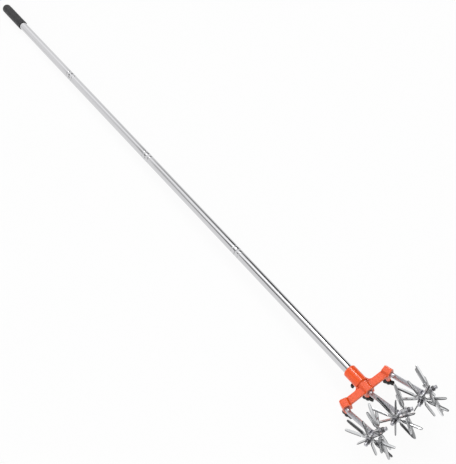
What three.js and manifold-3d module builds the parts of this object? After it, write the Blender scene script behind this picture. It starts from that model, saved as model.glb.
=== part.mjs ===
import * as THREE from 'three';
import * as BufferGeometryUtils from 'three/addons/utils/BufferGeometryUtils.js';
import Module from 'manifold-3d';

// Rotary hand cultivator, lying on the floor with its blocks' flat tops up. Millimetres.
// The tool's own frame: X along the crossbar, Y up the pole, Z out of the blocks' flat tops,
// with its zero point in the crossbar's middle, on the pole's centre line.

// Clearances
const seatGap = 0.3;
const runGap = 0.3;
const cutOverrun = 1;

// Pole
const tubeDiameter = 19;
const tubeWall = 1;
const poleEngagement = 35;
const lowestTubeShown = 357;
const sectionPitch = 345.2;
const sectionCount = 4;
const tubeSeam = 0.4;
const crimpDepth = 0.5;
const crimpWidth = 3;
const crimpFromEnd = 11;

// Threaded joint between two sections
const insertLength = 26;
const insertWall = 2.9;
const spigotLength = 18;
const insertInset = 1.2;
const spigotTaper = 1;

// Grip sleeve
const gripWall = 1.7;
const gripLength = 100;
const gripEndThickness = 7.2;
const gripMouthRound = 0.6;

// Head casting
const socketWall = 3.6;
const socketMouthY = 49;
const socketEndRound = 3;
const socketMouthChamfer = 1.2;
const blockPitch = 49.8;
const endBlockSplay = 15;
const blockTopZ = 10.5;
const blockBottomZ = -9.5;
const blockTopWidth = 11;
const blockWidth = 21;
const blockShoulderZ = 4;
const blockFootInset = 1.5;
const endBlockDepth = 17;
const outerTopHalf = 5;
const outerHalf = 8;
const outerShoulderZ = 6.5;
const middleBlockDepth = 20;
const barDepth = 16.2;
const barTopZ = 6;
const barThickness = 5.8;
const barEdge = 1.4;
const gussetRadius = 9;

// Stem bores, wing screw bosses and their threaded holes
const stemDiameter = 9.5;
const boreBackWall = 2.6;
const bossDiameter = 9;
const crossBossEndZ = -29;
const socketBossEndZ = -22;
const socketBossFromMouth = 12;
const studDiameter = 6;

// Wing knobs
const knobGap = 1.4;
const knobHeight = 15;
const knobHubDiameter = 10.4;
const knobHubHeight = 11;
const wingSpan = 21.6;
const wingThickness = 4.4;
const wingRoot = 3;
const wingRound = 2.2;
const knobBoreDepth = 9;
const knobHubEdge = 0.6;
const middleKnobTurn = 118;
const leftKnobTurn = 101;
const rightKnobTurn = 122;
const socketKnobTurn = 15;

// Tine units
const stemStraight = 17;
const stemBendRadius = 11;
const stemLow = 101.2;
const stemFan = 5;
const stemTilt = 25;
const leftUnitTurn = -6.6;
const middleUnitTurn = 1.2;
const rightUnitTurn = -5.5;
const axleDiameter = 7;
const axleSlope = 26.4;
const axleBendRadius = 5;
const axleReach = 26.8;
const collarFrom = 4.4;
const collarThickness = 1.2;
const collarDiameter = 9.2;

// Star wheels and what holds them
const starFrom = 11.3;
const starRadius = 50.5;
const starBladeCount = 8;
const leftStarTurnShares = [0.262, 0.986];
const middleStarTurnShares = [0.445, 0.245];
const rightStarTurnShares = [0.913, 0.682];
const bladeWidth = 5.8;
const bladeThickness = 1.8;
const bladeHollow = 1.1;
const starDiscDiameter = 20;
const starDiscThickness = 2.2;
const bladeRootRadius = 7.6;
const bladeShoulderRadius = 13;
const bladeTipWidth = 3;
const bladeTaperShare = 0.72;
const bladeMidTaperShare = 0.93;
const bladeRootWidthShare = 0.45;
const bladeMidWidthShare = 0.86;
const bushDiameter = 11;
const bushFlangeDiameter = 14;
const bushFlangeThickness = 1.5;
const washerDiameter = 12.4;
const washerThickness = 1.2;
const retainerFrom = 16.6;
const retainerLength = 5;
const retainerDiameter = 9.8;
const retainerChamfer = 0.8;

// Steps of round shapes
const roundSteps = 20;
const smallRoundSteps = 12;
const rodSteps = 12;
const domeSteps = 5;
const bendSteps = 5;
const filletSteps = 4;
const hollowSteps = 4;

const deg = Math.PI / 180;

const wasm = await Module();
wasm.setup();

const toSolid = geometry => {
  const bare = geometry.clone();
  bare.deleteAttribute('normal');
  bare.deleteAttribute('uv');
  const merged = BufferGeometryUtils.mergeVertices(bare);
  return new wasm.Manifold(new wasm.Mesh({
    numProp: 3,
    vertProperties: new Float32Array(merged.attributes.position.array),
    triVerts: new Uint32Array(merged.index.array),
  }));
};

const toGeometry = solid => {
  const mesh = solid.getMesh();
  const geometry = new THREE.BufferGeometry();
  geometry.setAttribute('position', new THREE.BufferAttribute(new Float32Array(mesh.vertProperties), 3));
  geometry.setIndex(new THREE.BufferAttribute(new Uint32Array(mesh.triVerts), 1));
  geometry.computeVertexNormals();
  return geometry;
};

const join = geometries => geometries.map(toSolid).reduce((whole, piece) => whole.add(piece));

const cut = (body, tools) => toGeometry(tools.map(toSolid).reduce((rest, tool) => rest.subtract(tool), body));

// A round piece about its own Y axis, from [radius, height] pairs that start and end on the axis or close
const turned = (profile, steps) =>
  new THREE.LatheGeometry(profile.map(([radius, height]) => new THREE.Vector2(radius, height)), steps);

const ring = (outer, inner, from, to, steps) => turned([
  [inner, from],
  [outer, from],
  [outer, to],
  [inner, to],
  [inner, from],
], steps);

const chamferedRing = (outer, inner, from, to, chamfer, steps) => turned([
  [inner, from],
  [outer - chamfer, from],
  [outer, from + chamfer],
  [outer, to - chamfer],
  [outer - chamfer, to],
  [inner, to],
  [inner, from],
], steps);

const outline = points => new THREE.Shape(points.map(([x, y]) => new THREE.Vector2(x, y)));

const slab = (shape, thickness) =>
  new THREE.ExtrudeGeometry(shape, { depth: thickness, bevelEnabled: false, curveSegments: filletSteps });

const finish = (color, roughness, metalness) =>
  () => new THREE.MeshStandardMaterial({ color, roughness, metalness });
const orangePaint = finish('#fb6a2e', 0.35, 0);
const polishedSteel = finish('#cfd0d2', 0.18, 1);
const blackVinyl = finish('#3f3f41', 0.6, 0);
const blackPlastic = finish('#171515', 0.45, 0);
const zincPlate = finish('#b4b5b6', 0.34, 1);
const darkZinc = finish('#4c4b4d', 0.45, 1);
const turnedSteel = finish('#a9a9ab', 0.3, 1);

const piece = (name, geometry, material, parent) => {
  const mesh = new THREE.Mesh(geometry, material());
  mesh.name = name;
  parent.add(mesh);
  return mesh;
};

const place = (parent, x, y, z) => {
  const group = new THREE.Group();
  group.position.set(x, y, z);
  parent.add(group);
  return group;
};

// Pole tubes

const tubeRadius = tubeDiameter / 2;
const tubeBore = tubeRadius - tubeWall;

// A shallow groove pressed into the tube around the insert that it holds
const crimp = at => [
  [tubeRadius, at - crimpWidth / 2],
  [tubeRadius - crimpDepth, at],
  [tubeRadius, at + crimpWidth / 2],
];

const tube = (length, crimpLow, crimpHigh) => turned([
  [tubeBore, 0],
  [tubeRadius, 0],
  ...(crimpLow ? crimp(crimpFromEnd) : []),
  ...(crimpHigh ? crimp(length - crimpFromEnd) : []),
  [tubeRadius, length],
  [tubeBore, length],
  [tubeBore, 0],
], roundSteps);

const insertRadius = tubeBore - seatGap;
const insertBore = insertRadius - insertWall;
const spigotRadius = insertBore - runGap;

const femaleInsert = () => ring(insertRadius, insertBore, 0, insertLength, smallRoundSteps);

// A plug with a threaded spigot that hangs below it
const maleInsert = () => turned([
  [0, -spigotLength],
  [spigotRadius - spigotTaper, -spigotLength],
  [spigotRadius, spigotTaper - spigotLength],
  [spigotRadius, 0],
  [insertRadius, 0],
  [insertRadius, insertLength],
  [0, insertLength],
], smallRoundSteps);

const gripRadius = tubeRadius + gripWall;
const gripBore = tubeRadius + seatGap;

// A sleeve that is closed by a half-round end
const grip = () => {
  const top = gripLength - gripRadius;
  const dome = Array.from({ length: domeSteps }, (_, i) => {
    const turn = (i / domeSteps) * Math.PI / 2;
    return [gripRadius * Math.cos(turn), top + gripRadius * Math.sin(turn)];
  });
  const innerEnd = gripLength - gripEndThickness;
  return turned([
    [gripBore, 0],
    [gripRadius - gripMouthRound, 0],
    [gripRadius, gripMouthRound],
    ...dome,
    [0, gripLength],
    [0, innerEnd],
    [gripBore, innerEnd],
    [gripBore, 0],
  ], roundSteps);
};

// Head casting

const socketRadius = tubeRadius + socketWall;
const stemBore = stemDiameter / 2 + seatGap;
const poleBore = tubeRadius + seatGap;
const poleBoreEnd = socketMouthY - poleEngagement - seatGap;
const middleBack = middleBlockDepth / 2;

// The socket's round body, drawn in where it meets the middle block
const socketBody = () => turned([
  [0, 0],
  [blockTopZ, 0],
  [blockTopZ, middleBack],
  [socketRadius, middleBack + socketEndRound],
  [socketRadius, socketMouthY - socketMouthChamfer],
  [socketRadius - socketMouthChamfer, socketMouthY],
  [0, socketMouthY],
], roundSteps);

const crossbar = () => {
  const half = barDepth / 2;
  const low = barTopZ - barThickness;
  const section = outline([
    [-half, low],
    [half, low],
    [half, barTopZ - barEdge],
    [half - barEdge, barTopZ],
    [barEdge - half, barTopZ],
    [-half, barTopZ - barEdge],
  ]);
  const bar = slab(section, blockPitch * 2);
  bar.rotateX(Math.PI / 2).rotateZ(Math.PI / 2);
  bar.translate(-blockPitch, 0, 0);
  return bar;
};

// A stem block: flat narrow top, sloping shoulders, foot drawn in a little. An end block is slimmer on
// its outer side.
const blockSide = outer => {
  const wide = outer ? outerHalf : blockWidth / 2;
  return [
    [wide - blockFootInset, blockBottomZ],
    [wide, blockBottomZ + blockFootInset],
    [wide, outer ? outerShoulderZ : blockShoulderZ],
    [outer ? outerTopHalf : blockTopWidth / 2, blockTopZ],
  ];
};

const block = ({ depth, side }) => {
  const left = blockSide(side < 0).map(([x, z]) => [-x, z]).reverse();
  const body = slab(outline([...blockSide(side > 0), ...left]), depth);
  body.rotateX(Math.PI / 2);
  body.translate(0, depth / 2, 0);
  return body;
};

// A hollow-cornered web that carries the socket's side into the crossbar
const gusset = side => {
  const back = barDepth / 2;
  const web = new THREE.Shape();
  web.moveTo(0, 0);
  web.lineTo(socketRadius + gussetRadius, 0);
  web.lineTo(socketRadius + gussetRadius, back);
  web.absarc(socketRadius + gussetRadius, back + gussetRadius, gussetRadius, -Math.PI / 2, -Math.PI, true);
  web.lineTo(0, back + gussetRadius);
  const body = slab(web, barThickness - barEdge);
  body.translate(0, 0, barTopZ - barThickness);
  return side > 0 ? body : body.rotateY(Math.PI).translate(0, 0, barTopZ * 2 - barThickness - barEdge);
};

// A round pin along Y between two places
const borePin = (radius, from, to, steps) =>
  new THREE.CylinderGeometry(radius, radius, to - from, steps).translate(0, (from + to) / 2, 0);

// A round pin along Z between two heights
const standing = (radius, low, high, steps) => borePin(radius, low, high, steps).rotateX(Math.PI / 2);

const blocks = [
  { name: 'left', x: -blockPitch, splay: -endBlockSplay, depth: endBlockDepth, side: -1 },
  { name: 'middle', x: 0, splay: 0, depth: middleBlockDepth, side: 0 },
  { name: 'right', x: blockPitch, splay: endBlockSplay, depth: endBlockDepth, side: 1 },
];

const onBlock = (geometry, { x, splay }) => geometry.rotateZ(splay * deg).translate(x, 0, 0);
const boreEnd = depth => depth / 2 - boreBackWall;
const stemHole = depth => borePin(stemBore, -depth / 2 - cutOverrun, boreEnd(depth), smallRoundSteps);
const socketBossY = socketMouthY - socketBossFromMouth;
const boss = (low, high) => standing(bossDiameter / 2, low, high, smallRoundSteps);
const studHole = end => standing(studDiameter / 2 + seatGap, end - cutOverrun, 0, rodSteps);

const headCasting = () => {
  const body = join([
    socketBody(),
    crossbar(),
    gusset(1),
    gusset(-1),
    boss(socketBossEndZ, -poleBore).translate(0, socketBossY, 0),
    ...blocks.map(spot => onBlock(block(spot), spot)),
    ...blocks.map(spot => boss(crossBossEndZ, 0).translate(spot.x, 0, 0)),
  ]);
  return cut(body, [
    borePin(poleBore, poleBoreEnd, socketMouthY + cutOverrun, roundSteps),
    studHole(socketBossEndZ).translate(0, socketBossY, 0),
    ...blocks.map(spot => onBlock(stemHole(spot.depth), spot)),
    ...blocks.map(spot => studHole(crossBossEndZ).translate(spot.x, 0, 0)),
  ]);
};

// Wing screws, about their own Y axis, with the boss's end at zero and the stud pointing up

const knobHubRadius = knobHubDiameter / 2;
const knobTop = -knobGap;
const knobBottom = knobTop - knobHeight;
const studRadius = studDiameter / 2;

const knob = () => {
  const half = wingSpan / 2;
  const wing = new THREE.Shape();
  wing.moveTo(0, knobTop - wingRoot);
  wing.lineTo(half - wingRound, knobTop - wingRoot);
  wing.absarc(half - wingRound, knobTop - wingRoot - wingRound, wingRound, Math.PI / 2, 0, true);
  wing.lineTo(half, knobBottom + wingRound);
  wing.absarc(half - wingRound, knobBottom + wingRound, wingRound, 0, -Math.PI / 2, true);
  wing.lineTo(knobHubRadius, knobBottom);
  wing.lineTo(0, knobTop - knobHubHeight);
  const blade = slab(wing, wingThickness).translate(0, 0, -wingThickness / 2);
  const hub = turned([
    [0, knobTop - knobHubHeight],
    [knobHubRadius - knobHubEdge, knobTop - knobHubHeight],
    [knobHubRadius, knobTop - knobHubHeight + knobHubEdge],
    [knobHubRadius, knobTop],
    [0, knobTop],
  ], smallRoundSteps);
  const bore = borePin(studRadius + seatGap, knobTop - knobBoreDepth, cutOverrun, rodSteps);
  return cut(join([hub, blade, blade.clone().rotateY(Math.PI)]), [bore]);
};

const stud = reach => borePin(studRadius, knobTop - knobBoreDepth + seatGap, reach, rodSteps);

// A wing screw hung on a boss's end; the stud stops short of the round rod that it clamps
const wingScrew = (name, parent, x, y, bossEnd, clampedRadius, knobTurn) => {
  const screw = place(parent, x, y, bossEnd);
  screw.rotation.x = Math.PI / 2;
  piece(`${name}_screw_stud`, stud(-clampedRadius - seatGap - bossEnd), turnedSteel, screw);
  piece(`${name}_wing_knob`, knob(), blackPlastic, screw).rotation.y = knobTurn * deg;
};

// Tine units

const vector = (x, y, z) => new THREE.Vector3(x, y, z);
const mix = (one, oneShare, other, otherShare) =>
  one.clone().multiplyScalar(oneShare).addScaledVector(other, otherShare);

// The centre line of a bent rod: two straight runs joined by an arc, with stations only where it starts,
// turns and ends
class BentLine extends THREE.Curve {
  constructor(start, corner, end, radius) {
    super();
    const back = start.clone().sub(corner).normalize();
    const ahead = end.clone().sub(corner).normalize();
    const half = back.angleTo(ahead) / 2;
    const inward = back.clone().add(ahead).normalize();
    const centre = corner.clone().addScaledVector(inward, radius / Math.sin(half));
    const outward = inward.clone().negate();
    const onward = ahead.clone().sub(back).normalize();
    const arc = Array.from({ length: bendSteps + 1 }, (_, i) => {
      const turn = (i / bendSteps * 2 - 1) * (Math.PI / 2 - half);
      return {
        point: mix(outward, radius * Math.cos(turn), onward, radius * Math.sin(turn)).add(centre),
        tangent: mix(outward, -Math.sin(turn), onward, Math.cos(turn)),
      };
    });
    this.stations = [
      { point: start, tangent: back.clone().negate() },
      ...arc,
      { point: end, tangent: ahead },
    ];
  }
  stationAt(share) {
    return this.stations[Math.round(share * (this.stations.length - 1))];
  }
  getPointAt(share, target = new THREE.Vector3()) {
    return target.copy(this.stationAt(share).point);
  }
  getTangentAt(share, target = new THREE.Vector3()) {
    return target.copy(this.stationAt(share).tangent);
  }
}

const rod = (route, radius) => {
  const circle = outline(Array.from({ length: rodSteps }, (_, i) => {
    const turn = i * 2 * Math.PI / rodSteps;
    return [radius * Math.cos(turn), radius * Math.sin(turn)];
  }));
  return new THREE.ExtrudeGeometry(circle, {
    steps: route.stations.length - 1, curveSegments: 1, extrudePath: route, bevelEnabled: false,
  });
};

const tilt = stemTilt * deg;
const slope = axleSlope * deg;

// The apex of a unit's axle, seen from its block
const apexOf = side => {
  const fan = stemFan * side * deg;
  const level = stemLow * Math.cos(tilt);
  return vector(Math.sin(fan) * level, -Math.cos(fan) * level, stemLow * Math.sin(tilt));
};

const axleRoute = () => {
  const end = side => vector(side * Math.cos(slope), -Math.sin(slope), 0).multiplyScalar(axleReach);
  return new BentLine(end(-1), vector(0, 0, 0), end(1), axleBendRadius);
};

// A straight pin laid along one stub of the axle
const alongStub = (geometry, side) => geometry.rotateZ(side * (-Math.PI / 2 - slope));

const axle = () => {
  const collarEnd = collarFrom + collarThickness;
  const collar = ring(collarDiameter / 2, axleDiameter / 4, collarFrom, collarEnd, smallRoundSteps);
  const shoulder = side => alongStub(collar.clone(), side);
  return toGeometry(join([rod(axleRoute(), axleDiameter / 2), shoulder(-1), shoulder(1)]));
};

// The stem: straight in its block, bent towards the blocks' tops, and hollowed to sit on the axle
const stem = ({ splay, depth, side }, wheelFrame) => {
  const along = vector(Math.sin(splay * deg), -Math.cos(splay * deg), 0);
  const top = along.clone().multiplyScalar(seatGap - boreEnd(depth));
  const corner = along.clone().multiplyScalar(stemStraight);
  const body = toSolid(rod(new BentLine(top, corner, apexOf(side), stemBendRadius), stemDiameter / 2));
  const saddle = rod(axleRoute(), axleDiameter / 2 + seatGap);
  wheelFrame.updateMatrix();
  return cut(body, [saddle.applyMatrix4(wheelFrame.matrix)]);
};

const bladeStep = 2 * Math.PI / starBladeCount;

// A blade has a hollowed section all along and is trimmed to the shape of a blunt leaf
const starBlade = () => {
  const taperFrom = starRadius * bladeTaperShare;
  const taperMid = starRadius * bladeMidTaperShare;
  const half = bladeWidth / 2;
  const right = [
    [half * bladeRootWidthShare, bladeRootRadius],
    [half, bladeShoulderRadius],
    [half, taperFrom],
    [half * bladeMidWidthShare, taperMid],
    [bladeTipWidth / 2, starRadius],
  ];
  const left = right.map(([x, y]) => [-x, y]).reverse();
  const leaf = slab(outline([...right, ...left]), bladeWidth).translate(0, 0, -half);
  const reach = half + cutOverrun;
  const across = Array.from({ length: hollowSteps + 1 }, (_, i) => reach * (2 * i / hollowSteps - 1));
  const bow = x => bladeHollow * (1 / 2 - (x / half) ** 2);
  const inside = across.map(x => [x, bow(x) + bladeThickness / 2]);
  const outside = across.map(x => [x, bow(x) - bladeThickness / 2]).reverse();
  const length = starRadius + cutOverrun;
  const gutter = slab(outline([...inside, ...outside]), length).rotateX(-Math.PI / 2);
  return toGeometry(toSolid(leaf).intersect(toSolid(gutter)));
};

// A star about its own Y axis: a flat disc and blades twisted square to it
const star = () => {
  const half = starDiscThickness / 2;
  const disc = ring(starDiscDiameter / 2, bushDiameter / 4, -half, half, smallRoundSteps);
  const blades = Array.from({ length: starBladeCount }, (_, i) =>
    starBlade().rotateZ(-Math.PI / 2).rotateY(i * bladeStep));
  const overrun = bladeWidth + cutOverrun;
  const bore = borePin(bushDiameter / 2 + seatGap, -overrun, overrun, smallRoundSteps);
  return cut(join([disc, ...blades]), [bore]);
};

const axleBore = axleDiameter / 2 + runGap;
const flangeFrom = starFrom + starDiscThickness / 2 + seatGap;
const bushEnd = flangeFrom + bushFlangeThickness;
const bushStart = collarFrom + collarThickness + runGap;

const hubBush = () => turned([
  [axleBore, bushStart],
  [bushDiameter / 2, bushStart],
  [bushDiameter / 2, flangeFrom],
  [bushFlangeDiameter / 2, flangeFrom],
  [bushFlangeDiameter / 2, bushEnd],
  [axleBore, bushEnd],
  [axleBore, bushStart],
], smallRoundSteps);

const washerFrom = bushEnd + runGap;

const wheel = (name, parent, side, turnShare) => {
  const stub = place(parent, 0, 0, 0);
  stub.rotation.z = side * (-Math.PI / 2 - slope);
  const spinning = place(stub, 0, 0, 0);
  spinning.rotation.y = side * turnShare * bladeStep;
  piece(`${name}_star`, star(), zincPlate, spinning).position.y = starFrom;
  piece(`${name}_hub_bush`, hubBush(), turnedSteel, spinning);
  const washerEnd = washerFrom + washerThickness;
  const washer = ring(washerDiameter / 2, axleBore, washerFrom, washerEnd, smallRoundSteps);
  piece(`${name}_washer`, washer, polishedSteel, stub);
  const retainer = chamferedRing(
    retainerDiameter / 2, axleDiameter / 2 + seatGap,
    retainerFrom, retainerFrom + retainerLength, retainerChamfer, smallRoundSteps);
  piece(`${name}_retainer`, retainer, darkZinc, stub);
};

const unitTurns = [leftUnitTurn, middleUnitTurn, rightUnitTurn];

// How far each star is turned at rest, as a share of the step from blade to blade, so that its blades
// pass between its neighbours' blades
const starTurnShares = [leftStarTurnShares, middleStarTurnShares, rightStarTurnShares];

const tineUnit = (spot, index, parent) => {
  const unit = place(parent, spot.x, 0, 0);
  const apex = apexOf(spot.side);
  const wheels = place(unit, apex.x, apex.y, apex.z);
  wheels.rotation.set(-tilt, unitTurns[index] * deg, stemFan * spot.side * deg, 'ZXY');
  piece(`${spot.name}_stem`, stem(spot, wheels), polishedSteel, unit);
  piece(`${spot.name}_axle`, axle(), polishedSteel, wheels);
  wheel(`${spot.name}_unit_left`, wheels, -1, starTurnShares[index][0]);
  wheel(`${spot.name}_unit_right`, wheels, 1, starTurnShares[index][1]);
};

// The whole tool

const poleSections = parent => {
  const firstJoint = socketMouthY + lowestTubeShown;
  Array.from({ length: sectionCount }).forEach((_, i) => {
    const low = i === 0 ? socketMouthY - poleEngagement : firstJoint + sectionPitch * (i - 1);
    const high = firstJoint + sectionPitch * i - tubeSeam;
    const last = i === sectionCount - 1;
    piece(`pole_tube_${i + 1}`, tube(high - low, i > 0, !last), polishedSteel, parent).position.y = low;
    if (!last) {
      const lower = piece(`female_insert_${i + 1}`, femaleInsert(), turnedSteel, parent);
      lower.position.y = high - insertLength - insertInset;
    }
    if (i > 0) {
      const upper = piece(`male_insert_${i + 1}`, maleInsert(), turnedSteel, parent);
      upper.position.y = low + insertInset;
    }
  });
};

const poleTop = socketMouthY + lowestTubeShown + sectionPitch * (sectionCount - 1) - tubeSeam;
const poleEnd = poleTop + seatGap + gripEndThickness;

const tool = new THREE.Group();
piece('head_casting', headCasting(), orangePaint, tool);
poleSections(tool);
piece('grip', grip(), blackVinyl, tool).position.y = poleEnd - gripLength;
wingScrew('left', tool, -blockPitch, 0, crossBossEndZ, stemDiameter / 2, leftKnobTurn);
wingScrew('middle', tool, 0, 0, crossBossEndZ, stemDiameter / 2, middleKnobTurn);
wingScrew('right', tool, blockPitch, 0, crossBossEndZ, stemDiameter / 2, rightKnobTurn);
wingScrew('socket', tool, 0, socketBossY, socketBossEndZ, tubeDiameter / 2, socketKnobTurn);
blocks.forEach((spot, index) => tineUnit(spot, index, tool));

// The tool lies on its three front wing knobs and its grip, which leans the pole a little
const knobRestZ = crossBossEndZ + knobBottom;
const lean = Math.atan((-knobRestZ - gripRadius) / (poleEnd - gripRadius));
tool.rotation.x = -lean;

const group = new THREE.Group();
group.add(tool);
group.updateMatrixWorld(true);
const room = new THREE.Box3().setFromObject(group, true);
const centre = room.getCenter(new THREE.Vector3());
tool.position.set(-centre.x, -centre.y, -room.min.z);

export default group;
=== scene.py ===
"""A rotary hand cultivator in a pale studio: steel pole, orange cast head, three pairs of star wheels."""
import math

import bmesh
import bpy
from mathutils import Matrix, Vector

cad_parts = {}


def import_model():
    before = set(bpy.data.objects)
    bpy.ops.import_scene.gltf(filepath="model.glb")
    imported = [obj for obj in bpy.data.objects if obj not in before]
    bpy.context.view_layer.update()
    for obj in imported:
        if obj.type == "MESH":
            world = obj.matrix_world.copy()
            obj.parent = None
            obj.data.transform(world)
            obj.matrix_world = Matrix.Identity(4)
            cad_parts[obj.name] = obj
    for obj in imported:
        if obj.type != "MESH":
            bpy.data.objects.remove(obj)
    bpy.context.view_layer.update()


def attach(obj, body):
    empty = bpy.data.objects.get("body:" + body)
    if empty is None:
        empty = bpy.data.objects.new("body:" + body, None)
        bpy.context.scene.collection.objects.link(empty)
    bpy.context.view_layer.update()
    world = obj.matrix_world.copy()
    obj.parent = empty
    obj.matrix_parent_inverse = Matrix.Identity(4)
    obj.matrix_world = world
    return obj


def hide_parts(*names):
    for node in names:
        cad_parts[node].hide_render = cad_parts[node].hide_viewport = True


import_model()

# Sizes in millimetres, in the tool's own frame: X along the crossbar, Y up the pole, Z out of the
# blocks' flat tops, with its zero point in the crossbar's middle on the pole's centre line.
MM = 0.001
SEAT = 0.3
RUN = 0.3
OVERRUN = 2.0
ON_AXIS = 0.000001

# Pole
TUBE_R = 9.5
TUBE_WALL = 1.0
TUBE_EDGE = 0.35
ENGAGED = 35.0
FIRST_SHOWN = 357.0
SECTION = 345.2
SECTIONS = 4
SEAM = 0.4
CRIMP_AT = 11.0
CRIMP_HALF = 1.5
CRIMP_DEPTH = 0.25
PUNCH_R = 1.3
PUNCH_DEPTH = 0.8
PUNCHES = 7
PUNCH_TURN = -15.0

# Threaded joint between two sections
INSERT_LENGTH = 26.0
INSERT_WALL = 2.9
INSERT_EDGE = 0.5
INSERT_MOUTH = 0.8
INSERT_INSET = 1.2
SPIGOT_R = 5.0
SPIGOT_LENGTH = 18.0
SPIGOT_ROOT = 0.5
SPIGOT_PLAIN = 1.5
SPIGOT_THREAD = 0.7
SPIGOT_PITCH = 1.75
THREAD_CHAMFER = 1.0
THREAD_END = 0.25

# Grip; each point of its mouth and bead is (how far in from its radius, height)
GRIP_R = 11.2
GRIP_LENGTH = 100.0
GRIP_END = 7.2
GRIP_BORE_EDGE = 0.5
GRIP_BORE_EDGE_HEIGHT = 0.4
GRIP_MOUTH = [(0.35, 0), (0.1, 0.15), (0, 0.5)]
GRIP_BEAD = [(0, 3.0), (0.35, 3.8), (0.35, 4.6), (0, 5.4)]

# Head casting
SOCKET_R = 13.1
SOCKET_MOUTH = 49.0
SOCKET_CHAMFER = 1.2
SOCKET_NECK = 3.0
BLOCK_PITCH = 49.8
SPLAY = 15.0
BLOCK_TOP = 10.5
BLOCK_BOTTOM = -9.5
BLOCK_TOP_WIDTH = 11.0
BLOCK_WIDTH = 21.0
BLOCK_SHOULDER = 4.0
BLOCK_FOOT = 1.5
OUTER_TOP = 5.0
OUTER_HALF = 8.0
OUTER_SHOULDER = 6.5
END_BLOCK_DEPTH = 17.0
MIDDLE_BLOCK_DEPTH = 20.0
BAR_DEPTH = 16.2
BAR_TOP = 6.0
BAR_THICK = 5.8
# Each point of the bar's back edge is (how far in from its side, how far below its top)
BAR_BACK_EDGE = [(0, 2.2), (0.6, 0.8), (2.0, 0)]
BAR_FRONT_EDGE = 0.8
WEB_DROP = 2.0
GUSSET_R = 9.0
BOSS_R = 4.5
CROSS_BOSS_END = -29.0
SOCKET_BOSS_END = -22.0
SOCKET_BOSS_Y = SOCKET_MOUTH - 12.0
BORE_BACK = 2.6
HEAD_GRAIN = 0.48
HEAD_SOFTENING = 1

# Wing screws
STUD_R = 3.0
STUD_THREAD = 0.45
STUD_PITCH = 1.0
KNOB_GAP = 1.4
KNOB_HEIGHT = 15.0
KNOB_HUB_R = 5.2
KNOB_HUB_HEIGHT = 11.0
KNOB_HUB_EDGE = 0.6
KNOB_BORE = 9.0
KNOB_GRAIN = 0.32
KNOB_SOFTENING = 4
WING_SPAN = 21.6
WING_THICK = 4.4
WING_ROOT = 3.0
WING_ROUND = 2.2

# Tine units
STEM_R = 4.75
STEM_STRAIGHT = 17.0
STEM_BEND = 11.0
STEM_LOW = 101.2
STEM_FAN = 5.0
STEM_TILT = 25.0
STEM_FOOT_GAP = 0.6
STEM_TOP_EDGE = 0.8
STEM_FOOT_EDGE = 0.6
WELD_LUMPS = 14
WELD_R = 1.1
WELD_BACK = 0.9
WELD_SUNK = 0.44
AXLE_R = 3.5
AXLE_EDGE = 0.7
AXLE_SLOPE = 26.4
AXLE_BEND = 5.0
AXLE_REACH = 26.8
COLLAR_FROM = 4.4
COLLAR_THICK = 1.2
COLLAR_R = 4.6
COLLAR_EDGE = 0.35
COLLAR_SUNK = 0.6

# Star wheels
STAR_FROM = 11.3
BLADES = 8
BLADE_WIDTH = 5.8
BLADE_HOLLOW = 0.55
# Distance from the hub, width, thickness and twist in degrees along a blade
BLADE_STATIONS = [
    (7.0, 4.6, 2.1, 0), (9.0, 4.2, 2.1, 8), (11.0, 4.2, 2.0, 35), (13.0, 4.8, 1.9, 68),
    (15.0, 5.4, 1.8, 85), (17.5, 5.8, 1.8, 90), (24.0, 5.8, 1.8, 90), (30.0, 5.8, 1.8, 90),
    (36.4, 5.75, 1.8, 90), (42.0, 5.45, 1.75, 90), (46.0, 5.0, 1.7, 90), (48.5, 4.3, 1.6, 90),
    (49.8, 3.4, 1.5, 90), (50.5, 2.2, 1.3, 90),
]
# One side of a blade's section, as shares of half its width and half its thickness
BLADE_SIDE_SHARES = [
    (-1, -0.5), (-0.9, -1), (-0.6, -1), (-0.3, -1), (0, -1), (0.3, -1), (0.6, -1), (0.9, -1), (1, -0.5),
]
DISC_R = 10.0
DISC_THICK = 2.2
DISC_EDGE = 0.5
BUSH_R = 5.5
BUSH_EDGE = 0.5
FLANGE_R = 7.0
FLANGE_THICK = 1.5
FLANGE_EDGE = 0.3
WASHER_R = 6.2
WASHER_THICK = 1.2
WASHER_EDGE = 0.25
RETAINER_FROM = 16.6
RETAINER_LENGTH = 5.0
RETAINER_R = 4.9
RETAINER_INNER_EDGE = 0.7
RETAINER_OUTER_EDGE = 0.9

# Steps of round shapes
TUBE_STEPS = 144
TUBE_LENGTHS = 8
CRIMP_STEPS = 12
SOCKET_STEPS = 64
GRIP_LENGTHS = 6
DOME_STEPS = 12
CORNER_STEPS = 8
WING_STEPS = 5
WHEEL_STEPS = 48
SMALL_STEPS = 40
AXLE_STEPS = 36
PIN_STEPS = 32
SPIGOT_STEPS = 28
SPIGOT_TURN_ROWS = 8
STUD_STEPS = 20
STUD_TURN_ROWS = 6
STEM_BEND_STEPS = 12
AXLE_BEND_STEPS = 10
WELD_STEPS = 12

# Each unit's side, its turn and its knob's turn in degrees, its block's depth, and how far its left and
# right stars are turned, as shares of the step from blade to blade
UNITS = {
    "left": {"side": -1, "turn": -6.6, "knob": 101.0, "depth": END_BLOCK_DEPTH, "shares": (0.262, 0.986)},
    "middle": {"side": 0, "turn": 1.2, "knob": 118.0, "depth": MIDDLE_BLOCK_DEPTH, "shares": (0.445, 0.245)},
    "right": {"side": 1, "turn": -5.5, "knob": 122.0, "depth": END_BLOCK_DEPTH, "shares": (0.913, 0.682)},
}
SOCKET_KNOB_TURN = 15.0

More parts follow.
